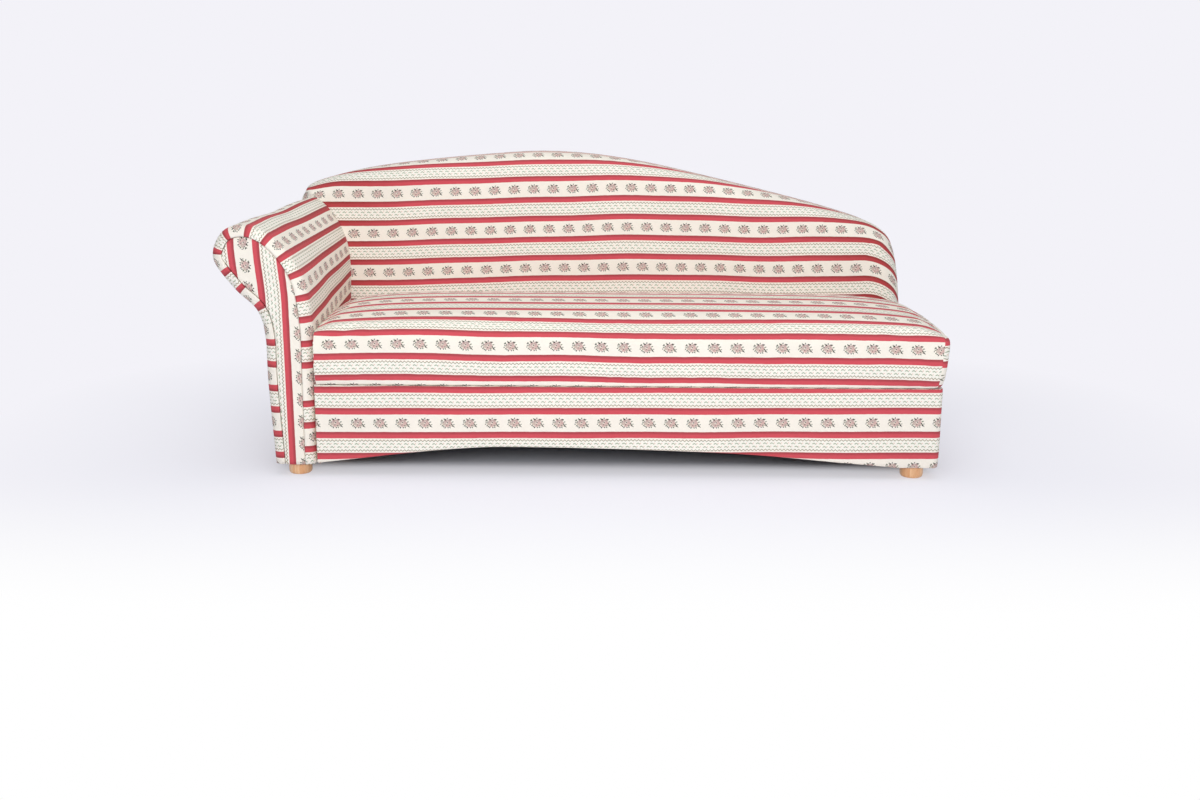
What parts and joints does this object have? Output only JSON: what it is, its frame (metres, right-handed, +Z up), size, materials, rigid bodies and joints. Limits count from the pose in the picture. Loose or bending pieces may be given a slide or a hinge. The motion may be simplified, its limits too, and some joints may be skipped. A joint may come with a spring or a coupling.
{
  "type": "one-armed sofa",
  "caption": "Upholstered three-seater sofa with one rolled arm, a sloping humped back and a long loose seat cushion on short turned feet.",
  "frame": {"origin": "on the floor, under the centre of the sofa's box", "axes": "+X along the sofa from the arm to the open end, +Y from the seat's front to the back, +Z up"},
  "size_m": [2.153, 0.8399, 0.9335],
  "materials": {
    "striped_fabric": "woven cotton stripe in red and cream with small posies",
    "plain_fabric": "plain woven platform cloth",
    "foam": "cut upholstery foam",
    "felt": "needled felt",
    "beech": "clear satin lacquer",
    "pine": "planed, unfinished",
    "plywood": "sanded, unfinished",
    "webbing": "elastic upholstery webbing",
    "black_cambric": "thin black lining",
    "spring_steel": "oil-tempered wire",
    "zinc_steel": "zinc plated",
    "nylon": "coil zip on a cotton tape"
  },
  "bodies": {
    "sofa": {"arm_cover": "striped_fabric", "arm_facing": "striped_fabric", "back_cover": "striped_fabric", "base_cover": "striped_fabric", "outside_back": "striped_fabric", "deck_cover": "plain_fabric", "arm_foam": "foam", "back_foam": "foam", "base_padding": "felt", "deck_felt": "felt", "foot_front_left": "beech", "foot_front_right": "beech", "foot_rear_left": "beech", "foot_rear_right": "beech", "arm_sill": "pine", "arm_roll_rail": "pine", "arm_inner_rail": "pine", "arm_outer_rail": "pine", "back_bottom_rail": "pine", "back_post_left": "pine", "back_post_centre_left": "pine", "back_post_centre_right": "pine", "back_post_right": "pine", "rear_rail": "pine", "left_end_rail": "pine", "right_end_rail": "pine", "spring_rail": "pine", "cross_rail_left": "pine", "cross_rail_right": "pine", "corner_block_front_right": "pine", "corner_block_rear_right": "pine", "front_rail": "plywood", "arm_front_board": "plywood", "arm_rear_board": "plywood", "arm_heel_board": "plywood", "back_crest_rail": "plywood", "back_webbing_1": "webbing", "back_webbing_2": "webbing", "back_webbing_3": "webbing", "dust_cover": "black_cambric", "zigzag_spring_1": "spring_steel", "zigzag_spring_2": "spring_steel", "zigzag_spring_3": "spring_steel", "zigzag_spring_4": "spring_steel", "zigzag_spring_5": "spring_steel", "zigzag_spring_6": "spring_steel", "zigzag_spring_7": "spring_steel", "zigzag_spring_8": "spring_steel", "arm_bolt_1": "zinc_steel", "arm_bolt_2": "zinc_steel", "back_bolt_1": "zinc_steel", "back_bolt_2": "zinc_steel", "foot_bolt_front_left": "zinc_steel", "foot_bolt_front_right": "zinc_steel", "foot_bolt_rear_left": "zinc_steel", "foot_bolt_rear_right": "zinc_steel"},
    "seat_cushion": {"cushion_cover": "striped_fabric", "cushion_foam": "foam", "cushion_zip": "nylon"},
    "zip_slider": {"zip_slider": "zinc_steel"}
  },
  "joints": [
    {"name": "cushion_lift", "type": "slide", "parent": "sofa", "child": "seat_cushion", "axis": [0, 0, 1], "range_m": [0, 0.7]},
    {"name": "zip_slide", "type": "slide", "parent": "seat_cushion", "child": "zip_slider", "axis": [1, 0, 0], "range_m": [0, 1.48]}
  ]
}
